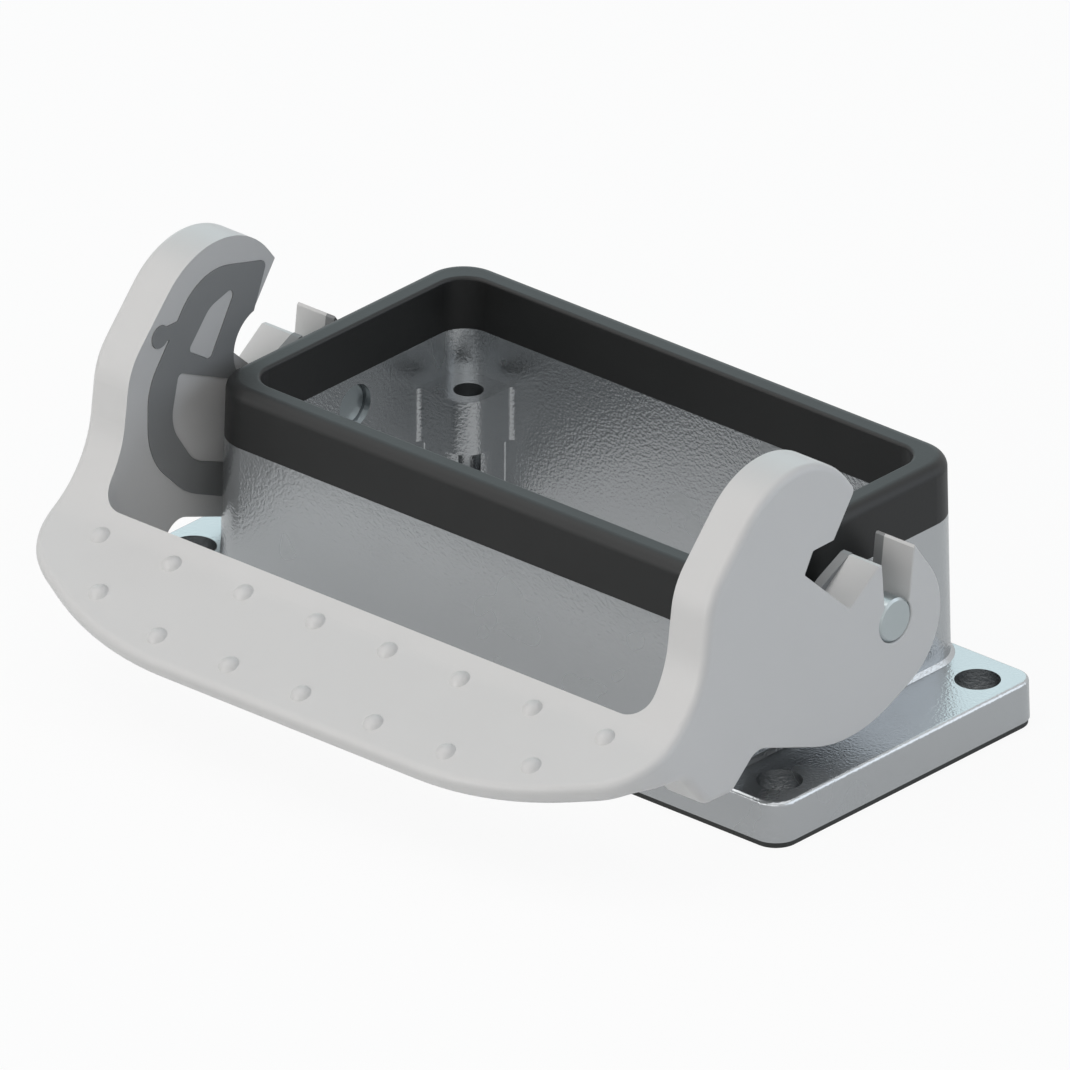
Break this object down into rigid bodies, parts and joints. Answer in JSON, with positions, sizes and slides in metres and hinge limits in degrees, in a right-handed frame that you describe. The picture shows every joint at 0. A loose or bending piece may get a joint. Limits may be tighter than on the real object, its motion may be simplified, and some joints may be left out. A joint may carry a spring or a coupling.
{
  "type": "bulkhead connector housing with locking lever",
  "caption": "Panel-mounted rectangular connector housing: flanged metal walls, rubber rim seal, corner posts for a contact insert, and a pivoting lever that hooks and locks the mating hood.",
  "frame": {"origin": "centre of the four flange screw holes, on the panel's face (the flange gasket's underside)", "axes": "+X along the long side of the flange, +Z away from the panel towards the mating hood; the lever's handle is on the -Y side"},
  "size_m": [0.0918, 0.0695, 0.0425],
  "materials": {
    "cast_metal": "silver-grey coat with a fine orange-peel texture, glossy",
    "seal_rubber": "black, soft sheen",
    "gasket_rubber": "black, matte",
    "lever_plastic": "light grey moulded, satin",
    "plate_metal": "dark grey, satin",
    "pin_steel": "plated, satin"
  },
  "bodies": {
    "base": {"housing": "cast_metal", "rim_seal": "seal_rubber", "flange_gasket": "gasket_rubber", "pivot_pin_right": "pin_steel", "pivot_pin_left": "pin_steel"},
    "lever": {"locking_lever": "lever_plastic", "wear_plate_right": "plate_metal", "wear_plate_left": "plate_metal"}
  },
  "joints": [
    {"name": "lever_pivot", "type": "hinge", "parent": "base", "child": "lever", "pos_m": [0, 0, 0.01895], "axis": [-1, 0, 0], "range_deg": [0, 45]}
  ]
}
